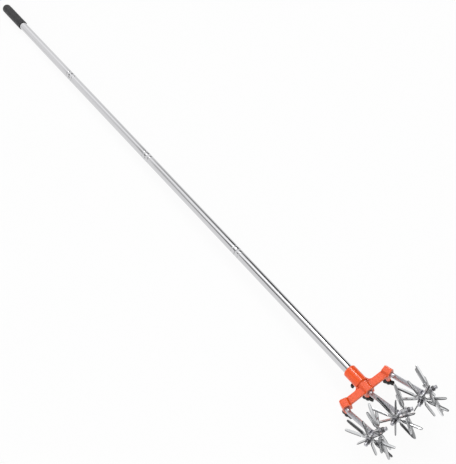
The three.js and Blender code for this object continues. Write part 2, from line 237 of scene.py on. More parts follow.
POLE_TOP = SOCKET_MOUTH + FIRST_SHOWN + SECTION * (SECTIONS - 1) - SEAM
POLE_END = POLE_TOP + SEAT + GRIP_END
KNOB_REST = -CROSS_BOSS_END + KNOB_GAP + KNOB_HEIGHT
LEAN = math.atan((KNOB_REST - GRIP_R) / (POLE_END - GRIP_R))
# Where the tool's own zero point lies in the frame, in metres
TOOL_AT = (-0.000248, -0.652984, 0.045598)
TOOL = (
    Matrix.Translation(TOOL_AT)
    @ Matrix.Rotation(-LEAN, 4, "X")
    @ Matrix.Scale(MM, 4)
)


def shift(x, y, z):
    return Matrix.Translation((x, y, z))


def spin(angle, axis):
    return Matrix.Rotation(math.radians(angle), 4, axis)


# Materials


# The name of the value that is 1 on a blade's long edges and end faces, which get painted shade
PAINTED_EDGE_SHADE = "painted_edge_shade"


def linear(hex_colour):
    """The linear colour of an sRGB hex value"""
    parts = [int(hex_colour[i:i + 2], 16) / 255 for i in (1, 3, 5)]
    return tuple(c / 12.92 if c <= 0.04045 else ((c + 0.055) / 1.055) ** 2.4 for c in parts) + (1.0,)


def add(tree, kind, sockets=(), **settings):
    """One node with its settings, and what goes into its sockets: a value or another node's output"""
    made = tree.nodes.new("ShaderNode" + kind)
    for name, value in settings.items():
        setattr(made, name, value)
    for name, value in dict(sockets).items():
        if isinstance(value, bpy.types.NodeSocket):
            tree.links.new(value, made.inputs[name])
        else:
            made.inputs[name].default_value = value
    return made


def surface(name, build, **shader):
    """A material whose shader has plain values, with what build(tree, shader) links to it"""
    material = bpy.data.materials.new(name)
    material.use_nodes = True
    tree = material.node_tree
    tree.nodes.clear()
    words = {word.replace("_", " "): value for word, value in shader.items()}
    principled = add(tree, "BsdfPrincipled", words)
    add(tree, "OutputMaterial", {"Surface": principled.outputs[0]})
    build(tree, principled)
    return material


def blended(tree, factor, low, high):
    """A colour between two hex colours"""
    return add(tree, "Mix", {0: factor, 6: linear(low), 7: linear(high)}, data_type="RGBA").outputs[2]


def ranged(tree, value, low, high, to_low, to_high):
    """A value stretched from one range to another"""
    sockets = {"Value": value, "From Min": low, "From Max": high, "To Min": to_low, "To Max": to_high}
    return add(tree, "MapRange", sockets).outputs[0]


def stretched(tree, scale):
    """Coordinates on the object in metres, with each axis scaled by its own count of waves per metre"""
    place = add(tree, "TexCoord").outputs["Object"]
    return add(tree, "Mapping", {"Vector": place, "Scale": scale}).outputs[0]


def noise(tree, per_metre, detail=3.0, rough=0.55, stretch=(1, 1, 1)):
    """A cloudy value with so many waves per metre, which stretch can make longer along an axis"""
    scale = tuple(per_metre * share for share in stretch)
    sockets = {"Vector": stretched(tree, scale), "Scale": 1.0, "Detail": detail, "Roughness": rough}
    return add(tree, "TexNoise", sockets).outputs[0]


def bump(tree, height, metres):
    """Normals of a relief whose full height is so many metres"""
    return add(tree, "Bump", {"Height": height, "Distance": metres}).outputs[0]


def waves(size_mm):
    """Waves per metre from a real size in millimetres"""
    return 1 / (size_mm * MM)


def orange_enamel(tree, shader):
    """Baked enamel on a zinc die casting: the gloss is softened by a fine orange peel about 1.5 mm across.
    Painted shade darkens the colour where ambient occlusion finds corners, and a painted highlight makes it
    pale pink on convex edges."""
    drift = noise(tree, waves(18), detail=2)
    # Painted shade: the colour turns dark red where ambient occlusion finds corners and steps.
    corner = add(tree, "AmbientOcclusion", {"Distance": 0.009}, samples=8).outputs["AO"]
    painted_corner_shade = ranged(tree, corner, 0.5, 0.95, 0.0, 1.0)
    # Painted highlight: convex edges, found by pointiness, turn pale pink.
    edge = ranged(tree, add(tree, "NewGeometry").outputs["Pointiness"], 0.51, 0.55, 0.0, 0.8)
    body = blended(tree, drift, "#fa520b", "#fe5c12")
    body_with_painted_shade = add(tree, "Mix", {0: painted_corner_shade, 6: linear("#8e1c02"), 7: body}, data_type="RGBA").outputs[2]
    with_painted_edge_highlight = add(tree, "Mix", {0: edge, 6: body_with_painted_shade, 7: linear("#ff9468")}, data_type="RGBA").outputs[2]
    tree.links.new(with_painted_edge_highlight, shader.inputs["Base Color"])
    peel = noise(tree, waves(1.5), detail=1)
    tree.links.new(bump(tree, peel, 0.0000004), shader.inputs["Normal"])
    tree.links.new(ranged(tree, noise(tree, waves(6)), 0.3, 0.7, 0.38, 0.5), shader.inputs["Roughness"])


def drawn_lines(tree, shader):
    """Polished stainless tube: long faint polishing lines, about 0.6 mm apart here so that they show.
    Painted shade darkens the colour in the punched pits and the seams, where ambient occlusion finds them."""
    lines = noise(tree, waves(0.6), detail=4, rough=0.65, stretch=(1, 0.012, 1))
    # Painted shade: near-black where ambient occlusion finds the pits and seams.
    pits = add(tree, "AmbientOcclusion", {"Distance": 0.002}, samples=8).outputs["AO"]
    unshaded_share = ranged(tree, pits, 0.55, 0.9, 0.0, 1.0)
    polished = blended(tree, lines, "#c6c6c8", "#d8d8da")
    with_painted_pit_shade = add(tree, "Mix", {0: unshaded_share, 6: linear("#2c2a28"), 7: polished}, data_type="RGBA").outputs[2]
    tree.links.new(with_painted_pit_shade, shader.inputs["Base Color"])
    tree.links.new(ranged(tree, lines, 0.3, 0.7, 0.05, 0.11), shader.inputs["Roughness"])
    tree.links.new(bump(tree, lines, 0.000003), shader.inputs["Normal"])


def bright_bar(tree, shader):
    """Cold drawn steel rod with bright zinc plate: nearly a mirror, with a slight mottle from the bath"""
    mottle = noise(tree, waves(3), detail=4)
    tree.links.new(blended(tree, mottle, "#b4b4b9", "#cacacf"), shader.inputs["Base Color"])
    tree.links.new(ranged(tree, mottle, 0.3, 0.7, 0.3, 0.38), shader.inputs["Roughness"])


def stamped_zinc(tree, shader):
    """Stamped steel sheet, barrel plated with zinc: light and shiny, with a fine grain and soft blotches.
    The blades' long edges and end faces are painted dark grey: painted shade."""
    blotch = noise(tree, waves(7), detail=3)
    grain = noise(tree, waves(0.7), detail=2)
    # Painted shade: the blades' marked edges and end faces turn dark grey.
    edge = add(tree, "Attribute", attribute_name=PAINTED_EDGE_SHADE).outputs["Fac"]
    bright = blended(tree, blotch, "#b8b9bb", "#cfd0d1")
    with_painted_edge_shade = add(tree, "Mix", {0: edge, 6: bright, 7: linear("#3c3c3e")}, data_type="RGBA").outputs[2]
    tree.links.new(with_painted_edge_shade, shader.inputs["Base Color"])
    tree.links.new(ranged(tree, blotch, 0.3, 0.7, 0.14, 0.24), shader.inputs["Roughness"])
    tree.links.new(bump(tree, grain, 0.00002), shader.inputs["Normal"])


def turned_steel(tree, shader):
    """Free-cutting steel from the lathe: fine tool marks that break up the shine"""
    marks = noise(tree, waves(0.5), detail=3)
    tree.links.new(blended(tree, marks, "#a8a8aa", "#cfcfd0"), shader.inputs["Base Color"])
    tree.links.new(ranged(tree, marks, 0.3, 0.7, 0.2, 0.34), shader.inputs["Roughness"])


def dark_phosphate(tree, shader):
    """Phosphated steel: dark grey with a crystalline haze, which shines where the light is strong"""
    haze = noise(tree, waves(1.2), detail=4)
    tree.links.new(blended(tree, haze, "#5a595b", "#7d7d7f"), shader.inputs["Base Color"])
    tree.links.new(ranged(tree, haze, 0.3, 0.7, 0.26, 0.4), shader.inputs["Roughness"])


def dipped_vinyl(tree, shader):
    """Dipped vinyl sleeve: charcoal, with a fine leathery grain of about 1 mm"""
    grain = noise(tree, waves(1.0), detail=3)
    tree.links.new(blended(tree, noise(tree, waves(9)), "#29292b", "#353537"), shader.inputs["Base Color"])
    tree.links.new(ranged(tree, grain, 0.3, 0.7, 0.45, 0.6), shader.inputs["Roughness"])
    tree.links.new(bump(tree, grain, 0.00012), shader.inputs["Normal"])


def moulded_nylon(tree, shader):
    """Moulded black nylon: a fine spark-eroded texture of about 0.6 mm, with a soft sheen"""
    spark = noise(tree, waves(0.6), detail=2)
    tree.links.new(blended(tree, noise(tree, waves(5)), "#0a0909", "#110f0f"), shader.inputs["Base Color"])
    tree.links.new(ranged(tree, spark, 0.3, 0.7, 0.42, 0.56), shader.inputs["Roughness"])
    tree.links.new(bump(tree, spark, 0.00003), shader.inputs["Normal"])


ENAMEL = surface(
    "orange_baked_enamel", orange_enamel, Coat_Weight=0.6, Coat_Roughness=0.07, Specular_IOR_Level=0.3)
STAINLESS = surface("polished_stainless_tube", drawn_lines, Metallic=1.0)
BRIGHT_ZINC = surface("bright_zinc_plated_rod", bright_bar, Metallic=1.0)
ZINC_SHEET = surface("barrel_zinc_plated_sheet", stamped_zinc, Metallic=1.0)
LATHE_STEEL = surface("turned_free_cutting_steel", turned_steel, Metallic=1.0)
PHOSPHATE = surface("phosphated_steel", dark_phosphate, Metallic=1.0)
VINYL = surface("dipped_black_vinyl", dipped_vinyl)
NYLON = surface("moulded_black_nylon", moulded_nylon, Specular_IOR_Level=0.15)


# Mesh tools


def solid(name, points, faces, place, material, body, slot, nodes, crease=35.0):
    """A finished piece: a mesh in millimetres put in its place, with its material, body and CAD nodes"""
    mesh = bpy.data.meshes.new(name)
    mesh.from_pydata([tuple(p) for p in points], [], faces)
    return finished(name, mesh, place, material, body, nodes, crease)


def finished(name, mesh, place, material, body, nodes, crease=35.0):
    """The same from a mesh; edges sharper than the crease angle stay sharp"""
    mesh.transform(place)
    work = bmesh.new()
    work.from_mesh(mesh)
    bmesh.ops.recalc_face_normals(work, faces=work.faces)
    work.to_mesh(mesh)
    work.free()
    mesh.shade_smooth()
    mesh.set_sharp_from_angle(angle=math.radians(crease))
    mesh.materials.clear()
    mesh.materials.append(material)
    piece = bpy.data.objects.new(name, mesh)
    bpy.context.scene.collection.objects.link(piece)
    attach(piece, body)
    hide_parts(*nodes)
    return piece


def soften(corners, steps=3):
    """A closed profile whose corners, (radius, height, round), become short arcs where round is given"""
    line = []
    count = len(corners)
    for i, corner in enumerate(corners):
        here = Vector(corner[:2])
        size = corner[2] if len(corner) > 2 else 0
        if not size:
            line.append(tuple(here))
            continue
        before = (Vector(corners[i - 1][:2]) - here).normalized()
        after = (Vector(corners[(i + 1) % count][:2]) - here).normalized()
        half = before.angle(after) / 2
        centre = here + (before + after).normalized() * (size / math.sin(half))
        reach = size / math.tan(half)
        start = here + before * reach - centre
        end = here + after * reach - centre
        wide = start.angle(end)
        for k in range(steps + 1):
            share = k / steps
            spot = (start * math.sin((1 - share) * wide) + end * math.sin(share * wide)) / math.sin(wide)
            line.append(tuple(centre + spot))
    return line


def lathe(profile, steps):
    """Points and faces of a closed profile turned about the Y axis; points on the axis are shared"""
    points, rows, faces = [], [], []
    for radius, height in profile:
        if radius < ON_AXIS:
            points.append((0, height, 0))
            rows.append([len(points) - 1] * steps)
            continue
        rows.append(list(range(len(points), len(points) + steps)))
        for i in range(steps):
            turn = 2 * math.pi * i / steps
            points.append((radius * math.cos(turn), height, radius * math.sin(turn)))
    for low, high in zip(rows, rows[1:] + rows[:1]):
        for i in range(steps):
            j = (i + 1) % steps
            corners = [low[i], low[j], high[j], high[i]]
            face = [c for n, c in enumerate(corners) if c not in corners[:n]]
            if len(face) > 2:
                faces.append(face)
    return points, faces


def slab(outline, thickness):
    """Points and faces of a flat outline in XY, drawn up along Z"""
    count = len(outline)
    points = [(x, y, 0) for x, y in outline] + [(x, y, thickness) for x, y in outline]
    faces = [list(range(count))[::-1], list(range(count, 2 * count))]
    faces += [[i, (i + 1) % count, count + (i + 1) % count, count + i] for i in range(count)]
    return points, faces


def swept(stations, radii, flat, steps):
    """A round rod with closed ends through (point, tangent) stations, in a plane with normal flat"""
    points, faces = [], []
    for (spot, tangent), radius in zip(stations, radii):
        across = flat.cross(tangent).normalized()
        for i in range(steps):
            turn = 2 * math.pi * i / steps
            points.append(spot + flat * (radius * math.cos(turn)) + across * (radius * math.sin(turn)))
    for k in range(len(stations) - 1):
        for i in range(steps):
            j = (i + 1) % steps
            faces.append([k * steps + i, k * steps + j, (k + 1) * steps + j, (k + 1) * steps + i])
    faces.append(list(range(steps))[::-1])
    faces.append(list(range((len(stations) - 1) * steps, len(stations) * steps)))
    return points, faces


def bent(start, corner, end, radius, steps):
    """The stations of a rod's centre line: two straight runs and an arc"""
    back = (start - corner).normalized()
    ahead = (end - corner).normalized()
    half = back.angle(ahead) / 2
    centre = corner + (back + ahead).normalized() * (radius / math.sin(half))
    outward = -(back + ahead).normalized()
    onward = (ahead - back).normalized()
    stations = [(start, -back)]
    for i in range(steps + 1):
        turn = (i / steps * 2 - 1) * (math.pi / 2 - half)
        spot = centre + (outward * math.cos(turn) + onward * math.sin(turn)) * radius
        stations.append((spot, onward * math.cos(turn) - outward * math.sin(turn)))
    return stations + [(end, ahead)]


def chamfered(stations, radius, first, last):
    """The same stations with an edge broken at each end, and the radius at each of them"""
    (start, along), (end, onward) = stations[0], stations[-1]
    line = [(start, along), (start + along * first, along)] + stations[1:-1]
    line += [(end - onward * last, onward), (end, onward)]
    return line, [radius - first] + [radius] * (len(line) - 2) + [radius - last]


def moved(shape, place):
    """The shape's points and faces, put in a place"""
    points, faces = shape
    return [place @ Vector(p) for p in points], faces


def together(shapes):
    """Several shapes' points and faces as one shape"""
    points, faces = [], []
    for more, sides in shapes:
        start = len(points)
        points += more
        faces += [[start + i for i in face] for face in sides]
    return points, faces


def plain(name, shape):
    """A helper object with the shape's mesh, which is taken away again once it has been worked on"""
    mesh = bpy.data.meshes.new(name)
    points, faces = shape
    mesh.from_pydata([tuple(p) for p in points], [], faces)
    work = bmesh.new()
    work.from_mesh(mesh)
    bmesh.ops.recalc_face_normals(work, faces=work.faces)
    work.to_mesh(mesh)
    work.free()
    helper = bpy.data.objects.new(name, mesh)
    bpy.context.scene.collection.objects.link(helper)
    return helper


def worked(helper, kind, **settings):
    """Gives the helper its own mesh with one modifier applied"""
    modifier = helper.modifiers.new(kind, kind)
    for name, value in settings.items():
        setattr(modifier, name, value)
    bpy.context.view_layer.update()
    shaped = helper.evaluated_get(bpy.context.evaluated_depsgraph_get())
    mesh = bpy.data.meshes.new_from_object(shaped)
    helper.modifiers.clear()
    old = helper.data
    helper.data = mesh
    bpy.data.meshes.remove(old)


def cast(name, shapes, cuts, grain, softening):
    """Overlapping solids run together as in a mould, with edges softened so many times, then bored"""
    helper = plain(name, together(shapes))
    worked(helper, "REMESH", mode="VOXEL", voxel_size=grain)
    worked(helper, "SMOOTH", factor=0.5, iterations=softening)
    for shape in cuts:
        tool = plain(name + "_cut", shape)
        worked(helper, "BOOLEAN", operation="DIFFERENCE", solver="EXACT", object=tool)
        bpy.data.objects.remove(tool)
    mesh = helper.data.copy()
    bpy.data.objects.remove(helper)
    return mesh


# Pole


def groove(at):
    """A shallow ring pressed into the tube"""
    dip = []
    for k in range(CRIMP_STEPS + 1):
        share = k / CRIMP_STEPS
        depth = CRIMP_DEPTH * (1 - math.cos(2 * math.pi * share)) / 2
        dip.append((TUBE_R - depth, at + CRIMP_HALF * (2 * share - 1)))
    return dip


def tube(name, node, low, length, crimped, body):
    """One pole tube with rolled edges, and a pressed ring of punch marks at each joint"""
    inner = TUBE_R - TUBE_WALL
    profile = [(inner, 0), (TUBE_R, 0, TUBE_EDGE), (TUBE_R, length, TUBE_EDGE), (inner, length)]
    line = soften(profile)
    outer = [p for p in line if p[0] > TUBE_R - TUBE_WALL / 2]
    half = len(outer) // 2
    rings = [at for at, there in zip((CRIMP_AT, length - CRIMP_AT), crimped) if there]
    stations = [(TUBE_R, k * length / TUBE_LENGTHS) for k in range(1, TUBE_LENGTHS)]
    for at in rings:
        stations += groove(at)
    middle = sorted(stations, key=lambda spot: spot[1])
    line = [line[0]] + outer[:half] + middle + outer[half:] + [line[-1]]
    points, faces = lathe(line, TUBE_STEPS)
    points = [dented(spot, rings) for spot in points]
    place = TOOL @ shift(0, low, 0)
    solid(name, points, faces, place, STAINLESS, body, "polished_steel", [node], crease=30)


def dented(spot, rings):
    """A point of the tube's outside, pushed in where a punch has struck the ring"""
    x, y, z = spot
    radius = math.hypot(x, z)
    for at in rings:
        for n in range(PUNCHES):
            turn = math.radians(PUNCH_TURN + 360 / PUNCHES * n)
            aside = x * math.cos(turn) - z * math.sin(turn)
            ahead = x * math.sin(turn) + z * math.cos(turn)
            far = math.hypot(y - at, math.atan2(aside, ahead) * radius) / PUNCH_R
            if far < 1 and radius > TUBE_R - TUBE_WALL / 2:
                size = 1 - PUNCH_DEPTH * (1 + math.cos(math.pi * far)) / 2 / radius
                return (x * size, y, z * size)
    return spot


def female_insert(name, node, base, body):
    """A threaded bush pressed into the tube's upper end"""
    outer = TUBE_R - TUBE_WALL - SEAT
    bore = outer - INSERT_WALL
    profile = [
        (bore, 0), (outer, 0, INSERT_EDGE), (outer, INSERT_LENGTH, INSERT_EDGE),
        (bore, INSERT_LENGTH, INSERT_MOUTH),
    ]
    points, faces = lathe(soften(profile), SMALL_STEPS)
    solid(name, points, faces, TOOL @ shift(0, base, 0), LATHE_STEEL, body, "turned_steel", [node])


def thread(radius, depth, pitch, low, high, steps, per_turn, plain_top=0.0):
    """A screw thread about the Y axis between two heights, with tapered ends and a plain top"""
    rows = max(2, round((high - low) / pitch * per_turn))
    points, faces = [(0, low, 0)], []
    for k in range(rows + 1):
        height = low + (high - low) * k / rows
        for i in range(steps):
            phase = (height - low) / pitch - i / steps
            wave = abs(2 * (phase % 1) - 1)
            cut = depth * wave
            if high - height < plain_top:
                cut = 0.0
            edge = min(height - low, high - height) + THREAD_END
            size = min(radius - cut, radius - THREAD_CHAMFER + edge)
            turn = 2 * math.pi * i / steps
            points.append((size * math.cos(turn), height, size * math.sin(turn)))
    points.append((0, high, 0))
    last = len(points) - 1
    for i in range(steps):
        j = (i + 1) % steps
        faces.append([0, 1 + j, 1 + i])
        for k in range(rows):
            a, b = 1 + k * steps, 1 + (k + 1) * steps
            faces.append([a + i, a + j, b + j, b + i])
        faces.append([last, 1 + rows * steps + i, 1 + rows * steps + j])
    return points, faces


def male_insert(name, node, base, body):
    """A plug pressed into the tube, with a threaded spigot below it"""
    outer = TUBE_R - TUBE_WALL - SEAT
    profile = [(0, 0), (outer, 0, INSERT_EDGE), (outer, INSERT_LENGTH, INSERT_EDGE), (0, INSERT_LENGTH)]
    plug = lathe(soften(profile), SMALL_STEPS)
    spigot = thread(
        SPIGOT_R, SPIGOT_THREAD, SPIGOT_PITCH, -SPIGOT_LENGTH, SPIGOT_ROOT, SPIGOT_STEPS, SPIGOT_TURN_ROWS,
        plain_top=SPIGOT_PLAIN)
    points, faces = together([plug, spigot])
    solid(name, points, faces, TOOL @ shift(0, base, 0), LATHE_STEEL, body, "turned_steel", [node])


def grip(body):
    """A closed sleeve with a domed end and a rolled bead at its mouth"""
    inner = TUBE_R + SEAT
    top = GRIP_LENGTH - GRIP_R
    dome = [
        (GRIP_R * math.cos(turn), top + GRIP_R * math.sin(turn))
        for turn in [k * math.pi / 2 / DOME_STEPS for k in range(DOME_STEPS)]
    ]
    bead_end = GRIP_BEAD[-1][1]
    line = [(inner, GRIP_BORE_EDGE_HEIGHT), (inner + GRIP_BORE_EDGE, 0)]
    line += [(GRIP_R - inset, height) for inset, height in GRIP_MOUTH + GRIP_BEAD]
    line += [(GRIP_R, bead_end + (top - bead_end) * k / GRIP_LENGTHS) for k in range(1, GRIP_LENGTHS)]
    line += dome + [(0, GRIP_LENGTH), (0, GRIP_LENGTH - GRIP_END), (inner, GRIP_LENGTH - GRIP_END)]
    points, faces = lathe(line, SOCKET_STEPS)
    place = TOOL @ shift(0, POLE_END - GRIP_LENGTH, 0)
    solid("grip_sleeve", points, faces, place, VINYL, body, "grip_vinyl", ["grip"], crease=50)


def pole():
    first_joint = SOCKET_MOUTH + FIRST_SHOWN
    for n in range(1, SECTIONS + 1):
        body = f"pole_section_{n}"
        low = SOCKET_MOUTH - ENGAGED if n == 1 else first_joint + SECTION * (n - 2)
        high = first_joint + SECTION * (n - 1) - SEAM
        tube(f"tube_{n}", f"pole_tube_{n}", low, high - low, (n > 1, n < SECTIONS), body)
        if n < SECTIONS:
            base = high - INSERT_LENGTH - INSERT_INSET
            female_insert(f"threaded_socket_{n}", f"female_insert_{n}", base, body)
        if n > 1:
            male_insert(f"threaded_plug_{n}", f"male_insert_{n}", low + INSERT_INSET, body)
    grip(f"pole_section_{SECTIONS}")


# Head casting


def pin(radius, low, high, steps=PIN_STEPS):
    """A pin along Y"""
    return lathe([(0, low), (radius, low), (radius, high), (0, high)], steps)


def upright(radius, low, high):
    """A pin along Z"""
    return moved(pin(radius, low, high), spin(90, "X"))


def block_side(outer):
    """The right side of a block's outline, from its foot to its flat top; an outer side is slimmer"""
    wide = OUTER_HALF if outer else BLOCK_WIDTH / 2
    shoulder = OUTER_SHOULDER if outer else BLOCK_SHOULDER
    narrow = OUTER_TOP if outer else BLOCK_TOP_WIDTH / 2
    return [
        (wide - BLOCK_FOOT, BLOCK_BOTTOM), (wide, BLOCK_BOTTOM + BLOCK_FOOT), (wide, shoulder),
        (narrow, BLOCK_TOP),
    ]


def block_shape(unit):
    depth, side = unit["depth"], unit["side"]
    left = [(-x, z) for x, z in block_side(side < 0)][::-1]
    return moved(slab(block_side(side > 0) + left, depth), shift(0, depth / 2, 0) @ spin(90, "X"))


def head():
    back = BAR_DEPTH / 2
    reach = SOCKET_R + GUSSET_R
    arc = [
        (reach - GUSSET_R * math.sin(turn), back + GUSSET_R - GUSSET_R * math.cos(turn))
        for turn in [k * math.pi / 2 / CORNER_STEPS for k in range(CORNER_STEPS + 1)]
    ]
    web = [(-reach, 0), (reach, 0)] + arc + [(-x, y) for x, y in arc[::-1]]
    socket = lathe([
        (0, 0), (BLOCK_TOP, 0), (BLOCK_TOP, MIDDLE_BLOCK_DEPTH / 2),
        (SOCKET_R, MIDDLE_BLOCK_DEPTH / 2 + SOCKET_NECK), (SOCKET_R, SOCKET_MOUTH - SOCKET_CHAMFER),
        (SOCKET_R - SOCKET_CHAMFER, SOCKET_MOUTH), (0, SOCKET_MOUTH),
    ], SOCKET_STEPS)
    bar_low = BAR_TOP - BAR_THICK
    bar = [(-back, bar_low), (back, bar_low)]
    bar += [(back - inset, BAR_TOP - drop) for inset, drop in BAR_BACK_EDGE]
    bar += [(BAR_FRONT_EDGE - back, BAR_TOP), (-back, BAR_TOP - BAR_FRONT_EDGE)]
    bar_place = shift(-BLOCK_PITCH, 0, 0) @ spin(90, "Z") @ spin(90, "X")
    shapes = [socket, moved(slab(bar, BLOCK_PITCH * 2), bar_place)]
    shapes.append(moved(slab(web, BAR_THICK - WEB_DROP), shift(0, 0, bar_low)))
    shapes.append(moved(upright(BOSS_R, SOCKET_BOSS_END, -TUBE_R), shift(0, SOCKET_BOSS_Y, 0)))
    cuts = [pin(TUBE_R + SEAT, SOCKET_MOUTH - ENGAGED - SEAT, SOCKET_MOUTH + OVERRUN, SOCKET_STEPS)]
    cuts.append(moved(upright(STUD_R + SEAT, SOCKET_BOSS_END - OVERRUN, 0), shift(0, SOCKET_BOSS_Y, 0)))
    for unit in UNITS.values():
        x, depth = BLOCK_PITCH * unit["side"], unit["depth"]
        place = shift(x, 0, 0) @ spin(SPLAY * unit["side"], "Z")
        shapes.append(moved(block_shape(unit), place))
        shapes.append(moved(upright(BOSS_R, CROSS_BOSS_END, 0), shift(x, 0, 0)))
        bore = pin(STEM_R + SEAT, -depth / 2 - OVERRUN, depth / 2 - BORE_BACK, WHEEL_STEPS)
        cuts.append(moved(bore, place))
        cuts.append(moved(upright(STUD_R + SEAT, CROSS_BOSS_END - OVERRUN, 0), shift(x, 0, 0)))
    mesh = cast("head", shapes, cuts, HEAD_GRAIN, HEAD_SOFTENING)
    finished("cast_head", mesh, TOOL, ENAMEL, "head", ["head_casting"], crease=60)


# Wing screws


def knob_mesh():
    """A round hub with two round-cornered wings, about its own Y axis, with the boss's end at zero"""
    top, bottom = -KNOB_GAP, -KNOB_GAP - KNOB_HEIGHT
    half = WING_SPAN / 2
    wing = [(0, top - WING_ROOT)]
    for cx, cy, first in (
        (half - WING_ROUND, top - WING_ROOT - WING_ROUND, 90), (half - WING_ROUND, bottom + WING_ROUND, 0)
    ):
        for k in range(WING_STEPS + 1):
            turn = math.radians(first - 90 * k / WING_STEPS)
            wing.append((cx + WING_ROUND * math.cos(turn), cy + WING_ROUND * math.sin(turn)))
    wing += [(KNOB_HUB_R, bottom), (0, top - KNOB_HUB_HEIGHT)]
    lobe = moved(slab(wing, WING_THICK), shift(0, 0, -WING_THICK / 2))
    hub_end = top - KNOB_HUB_HEIGHT
    hub = lathe([
        (0, hub_end), (KNOB_HUB_R - KNOB_HUB_EDGE, hub_end), (KNOB_HUB_R, hub_end + KNOB_HUB_EDGE),
        (KNOB_HUB_R, top), (0, top),
    ], SMALL_STEPS)
    bore = pin(STUD_R + SEAT, top - KNOB_BORE, OVERRUN)
    shapes = [lobe, moved(lobe, spin(180, "Y")), hub]
    return cast("knob", shapes, [bore], KNOB_GRAIN, KNOB_SOFTENING)


def wing_screws():
    mesh = knob_mesh()
    spots = [
        (name, BLOCK_PITCH * unit["side"], 0.0, CROSS_BOSS_END, STEM_R, unit["knob"])
        for name, unit in UNITS.items()
    ]
    spots.append(("socket", 0.0, SOCKET_BOSS_Y, SOCKET_BOSS_END, TUBE_R, SOCKET_KNOB_TURN))
    for name, x, y, end, clamped, turn in spots:
        place = TOOL @ shift(x, y, end) @ spin(90, "X")
        finished(
            f"{name}_knob", mesh.copy(), place @ spin(turn, "Y"), NYLON, f"{name}_knob",
            [f"{name}_wing_knob"], crease=50)
        low, high = -KNOB_GAP - KNOB_BORE + SEAT, -clamped - SEAT - end
        points, faces = thread(STUD_R, STUD_THREAD, STUD_PITCH, low, high, STUD_STEPS, STUD_TURN_ROWS)
        solid(
            f"{name}_threaded_stud", points, faces, place, LATHE_STEEL, f"{name}_stud", "turned_steel",
            [f"{name}_screw_stud"])


# Tine units


def ball(radius, steps):
    """A round lump about the origin"""
    half = steps // 2
    turns = [math.pi * (k / half - 0.5) for k in range(1, half)]
    belly = [(radius * math.cos(turn), radius * math.sin(turn)) for turn in turns]
    return lathe([(0, -radius)] + belly + [(0, radius)], steps)


def apex(side):
    """The corner of a unit's axle, seen from its block"""
    fan = math.radians(STEM_FAN * side)
    tilt = math.radians(STEM_TILT)
    level = STEM_LOW * math.cos(tilt)
    return Vector((math.sin(fan) * level, -math.cos(fan) * level, STEM_LOW * math.sin(tilt)))


def stem(name, unit):
    """A bright rod, straight in its block and bent towards its axle, with a weld bead at its foot"""
    splay = math.radians(SPLAY * unit["side"])
    along = Vector((math.sin(splay), -math.cos(splay), 0))
    foot = apex(unit["side"])
    start = along * (SEAT - unit["depth"] / 2 + BORE_BACK)
    corner = along * STEM_STRAIGHT
    onward = (foot - corner).normalized()
    end = foot - onward * (AXLE_R + STEM_FOOT_GAP)
    stations = bent(start, corner, end, STEM_BEND, STEM_BEND_STEPS)
    flat = along.cross(onward).normalized()
    line, radii = chamfered(stations, STEM_R, STEM_TOP_EDGE, STEM_FOOT_EDGE)
    shapes = [swept(line, radii, flat, SMALL_STEPS)]
    for k in range(WELD_LUMPS):
        turn = 2 * math.pi * k / WELD_LUMPS
        out = flat * math.cos(turn) + flat.cross(onward) * math.sin(turn)
        spot = end - onward * WELD_BACK + out * (STEM_R - WELD_SUNK)
        shapes.append(moved(ball(WELD_R, WELD_STEPS), shift(*spot)))
    place = TOOL @ shift(BLOCK_PITCH * unit["side"], 0, 0)
    points, faces = together(shapes)
    solid(
        f"{name}_bent_stem", points, faces, place, BRIGHT_ZINC, f"{name}_unit", "polished_steel",
        [f"{name}_stem"])


def wheel_place(unit):
    """The place of a unit's axle, with its corner at zero"""
    foot = apex(unit["side"])
    turns = spin(STEM_FAN * unit["side"], "Z") @ spin(-STEM_TILT, "X") @ spin(unit["turn"], "Y")
    return TOOL @ shift(BLOCK_PITCH * unit["side"], 0, 0) @ shift(*foot) @ turns


def stub(side):
    """Turns what is made about the Y axis to lie along one stub of the axle"""
    return spin(side * (-90 - AXLE_SLOPE), "Z")


def axle(name, unit):
    """A bright rod bent to a chevron, with a shoulder on each stub"""
    slope = math.radians(AXLE_SLOPE)
    ends = [Vector((side * math.cos(slope), -math.sin(slope), 0)) * AXLE_REACH for side in (-1, 1)]
    stations = bent(ends[0], Vector((0, 0, 0)), ends[1], AXLE_BEND, AXLE_BEND_STEPS)
    line, radii = chamfered(stations, AXLE_R, AXLE_EDGE, AXLE_EDGE)
    shapes = [swept(line, radii, Vector((0, 0, 1)), AXLE_STEPS)]
    inner, collar_end = AXLE_R - COLLAR_SUNK, COLLAR_FROM + COLLAR_THICK
    collar = soften([
        (inner, COLLAR_FROM), (COLLAR_R, COLLAR_FROM, COLLAR_EDGE), (COLLAR_R, collar_end, COLLAR_EDGE),
        (inner, collar_end)])
    for side in (-1, 1):
        shapes.append(moved(lathe(collar, AXLE_STEPS), stub(side)))
    points, faces = together(shapes)
    solid(
        f"{name}_chevron_axle", points, faces, wheel_place(unit), BRIGHT_ZINC, f"{name}_unit",
        "polished_steel", [f"{name}_axle"])


